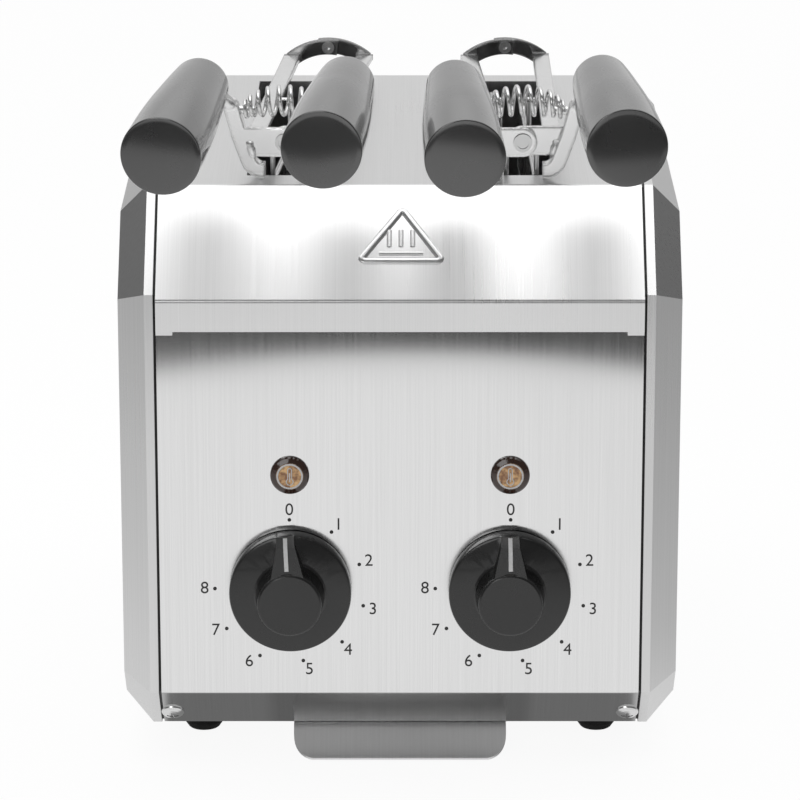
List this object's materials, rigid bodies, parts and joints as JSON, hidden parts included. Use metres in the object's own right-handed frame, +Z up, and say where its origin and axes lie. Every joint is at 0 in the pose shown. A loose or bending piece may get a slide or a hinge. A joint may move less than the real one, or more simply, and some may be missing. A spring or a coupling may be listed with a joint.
{
  "type": "tong toaster",
  "caption": "Countertop toaster in brushed steel with slotted hood, lift-out spring tongs with black handles, control dials, pilot lamps and a pull-out crumb tray.",
  "frame": {"origin": "on the table under the middle of the overall footprint", "axes": "+X to the viewer's right, +Y from the front panel to the back, +Z up"},
  "size_m": [0.222, 0.3654, 0.2906],
  "materials": {
    "brushed_sheet": "vertically brushed stainless sheet",
    "plain_steel": "plain bright sheet and screws",
    "tong_steel": "bright welded strip and wire",
    "element_sheath": "heat-darkened sheath",
    "ceramic": "unglazed white ceramic",
    "black_plastic": "satin gloss black phenolic",
    "black_nylon": "matt black nylon",
    "foot_rubber": "matt black rubber",
    "cream_plastic": "moulded housing",
    "amber_lens": "clear amber plastic"
  },
  "bodies": {
    "housing": {"hood": "brushed_sheet", "front_panel": "brushed_sheet", "rear_panel": "brushed_sheet", "left_cover": "brushed_sheet", "right_cover": "brushed_sheet", "base_pan": "plain_steel", "front_bulkhead": "plain_steel", "rear_bulkhead": "plain_steel", "left_shield": "plain_steel", "right_shield": "plain_steel", "left_element": "element_sheath", "centre_element": "element_sheath", "right_element": "element_sheath", "element_bushings": "ceramic", "left_outer_guard": "plain_steel", "left_inner_guard": "plain_steel", "right_inner_guard": "plain_steel", "right_outer_guard": "plain_steel", "tray_runners": "plain_steel", "rubber_feet": "foot_rubber", "foot_screws": "plain_steel", "panel_screws": "plain_steel", "left_regulator": "cream_plastic", "right_regulator": "cream_plastic", "regulator_screws": "plain_steel", "left_lamp_lens": "amber_lens", "right_lamp_lens": "amber_lens", "left_lamp_holder": "cream_plastic", "right_lamp_holder": "cream_plastic", "cord_gland": "black_nylon", "gland_nut": "black_nylon", "terminal_block": "ceramic"},
    "left_dial": {"left_knob": "black_plastic", "left_dial_shaft": "plain_steel"},
    "right_dial": {"right_knob": "black_plastic", "right_dial_shaft": "plain_steel"},
    "tray": {"crumb_tray": "plain_steel"},
    "left_tong": {"left_tong_front_rivet": "tong_steel", "left_tong_rear_rivet": "tong_steel", "left_tong_spring": "tong_steel"},
    "left_jaw_a": {"left_tong_frame_a": "tong_steel", "left_tong_cage_a": "tong_steel", "left_tong_handle_a": "black_plastic"},
    "left_jaw_b": {"left_tong_frame_b": "tong_steel", "left_tong_cage_b": "tong_steel", "left_tong_handle_b": "black_plastic"},
    "right_tong": {"right_tong_front_rivet": "tong_steel", "right_tong_rear_rivet": "tong_steel", "right_tong_spring": "tong_steel"},
    "right_jaw_a": {"right_tong_frame_a": "tong_steel", "right_tong_cage_a": "tong_steel", "right_tong_handle_a": "black_plastic"},
    "right_jaw_b": {"right_tong_frame_b": "tong_steel", "right_tong_cage_b": "tong_steel", "right_tong_handle_b": "black_plastic"}
  },
  "joints": [
    {"name": "left_dial_turn", "type": "hinge", "parent": "housing", "child": "left_dial", "pos_m": [-0.0435, -0.10432, 0.0753], "axis": [0, 1, 0], "range_deg": [0, 272]},
    {"name": "right_dial_turn", "type": "hinge", "parent": "housing", "child": "right_dial", "pos_m": [0.0435, -0.10432, 0.0753], "axis": [0, 1, 0], "range_deg": [0, 272]},
    {"name": "tray_pull", "type": "slide", "parent": "housing", "child": "tray", "axis": [0, -1, 0], "range_m": [0, 0.2]},
    {"name": "left_tong_lift", "type": "slide", "parent": "housing", "child": "left_tong", "axis": [0, 0, 1], "range_m": [0, 0.18]},
    {"name": "left_jaw_a_open", "type": "hinge", "parent": "left_tong", "child": "left_jaw_a", "pos_m": [-0.0456, -0.05782, 0.2465], "axis": [0.0819, 0.9966, 0], "range_deg": [0, 4], "stiffness_Nm_per_rad": 1.5, "springref_deg": -17.19, "deforming": ["left_tong_spring"]},
    {"name": "left_jaw_b_open", "type": "hinge", "parent": "left_tong", "child": "left_jaw_b", "pos_m": [-0.0456, -0.05782, 0.2465], "axis": [0.0819, 0.9966, 0], "range_deg": [-4, 0], "stiffness_Nm_per_rad": 1.5, "springref_deg": 17.19},
    {"name": "right_tong_lift", "type": "slide", "parent": "housing", "child": "right_tong", "axis": [0, 0, 1], "range_m": [0, 0.18]},
    {"name": "right_jaw_a_open", "type": "hinge", "parent": "right_tong", "child": "right_jaw_a", "pos_m": [0.0486, -0.05782, 0.2465], "axis": [-0.0175, 0.9998, 0], "range_deg": [0, 4], "stiffness_Nm_per_rad": 1.5, "springref_deg": -17.19, "deforming": ["right_tong_spring"]},
    {"name": "right_jaw_b_open", "type": "hinge", "parent": "right_tong", "child": "right_jaw_b", "pos_m": [0.0486, -0.05782, 0.2465], "axis": [-0.0175, 0.9998, 0], "range_deg": [-4, 0], "stiffness_Nm_per_rad": 1.5, "springref_deg": 17.19}
  ],
  "couplings": [
    {"joint": "left_jaw_b_open", "follows": "left_jaw_a_open", "ratio": -1},
    {"joint": "right_jaw_b_open", "follows": "right_jaw_a_open", "ratio": -1}
  ]
}
